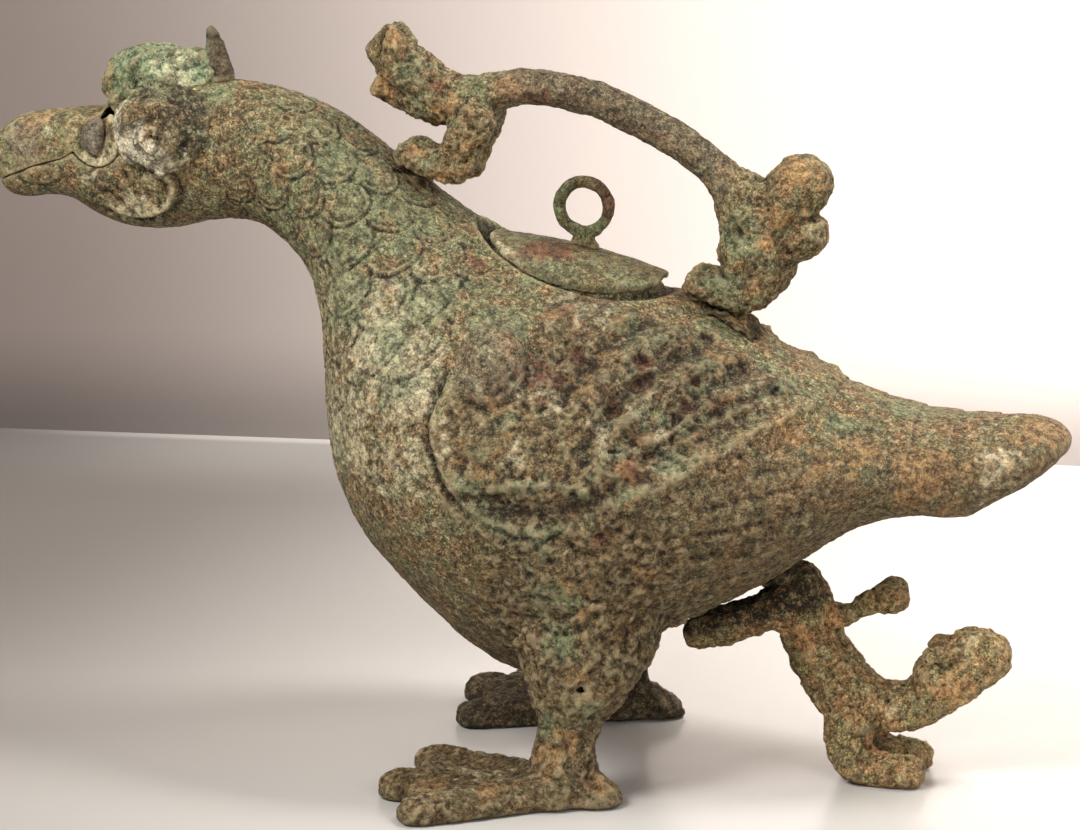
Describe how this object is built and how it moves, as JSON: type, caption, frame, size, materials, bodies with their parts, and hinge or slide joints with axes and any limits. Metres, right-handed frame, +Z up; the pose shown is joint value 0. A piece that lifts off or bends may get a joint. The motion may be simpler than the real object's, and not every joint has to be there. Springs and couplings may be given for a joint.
{
  "type": "bird-shaped wine vessel",
  "caption": "Bronze pouring vessel shaped as a standing bird, with a hinged bill as spout, a loose oval lid, webbed feet, a beast-shaped handle and a beast as rear support.",
  "frame": {"origin": "on the floor under the middle of the bird's bounding box", "axes": "the bird looks along -X, its left side is -Y, +Z up"},
  "size_m": [0.338, 0.1698, 0.2296],
  "materials": {
    "vessel_bronze": "corroded grey-green and brown bronze with green patches",
    "bill_bronze": "corroded brown bronze with earthy crust",
    "pin_bronze": "dark smooth patina",
    "crest_bronze": "thick pale green corrosion",
    "eye_bronze": "grey-green patina with pale crust",
    "leg_bronze": "corroded brown bronze",
    "casting_clay": "burnt casting clay",
    "handle_bronze": "corroded grey-brown bronze with earthy ends",
    "solder": "earthy crusted lead solder",
    "support_bronze": "corroded brown bronze with ochre and black crust",
    "lid_bronze": "smoother grey-green patina with a reddish patch"
  },
  "bodies": {
    "vessel": {"body_shell": "vessel_bronze", "head_crest": "crest_bronze", "crest_horn": "crest_bronze", "left_eye_boss": "eye_bronze", "right_eye_boss": "eye_bronze", "left_leg": "leg_bronze", "right_leg": "leg_bronze", "left_leg_core": "casting_clay", "right_leg_core": "casting_clay", "handle_tiger": "handle_bronze", "handle_front_solder": "solder", "handle_rear_solder": "solder", "support_tiger": "support_bronze", "support_solder": "solder"},
    "beak": {"upper_beak": "bill_bronze", "beak_pin": "pin_bronze"},
    "lid": {"lid_plate": "lid_bronze", "lid_ring": "lid_bronze"}
  },
  "joints": [
    {"name": "beak_swing", "type": "hinge", "parent": "vessel", "child": "beak", "pos_m": [-0.131, 0, 0.192], "axis": [0, 1, 0], "range_deg": [0, 28]},
    {"name": "lid_lift", "type": "slide", "parent": "vessel", "child": "lid", "axis": [0.2045, 0, 0.9789], "range_m": [0, 0.015]}
  ]
}
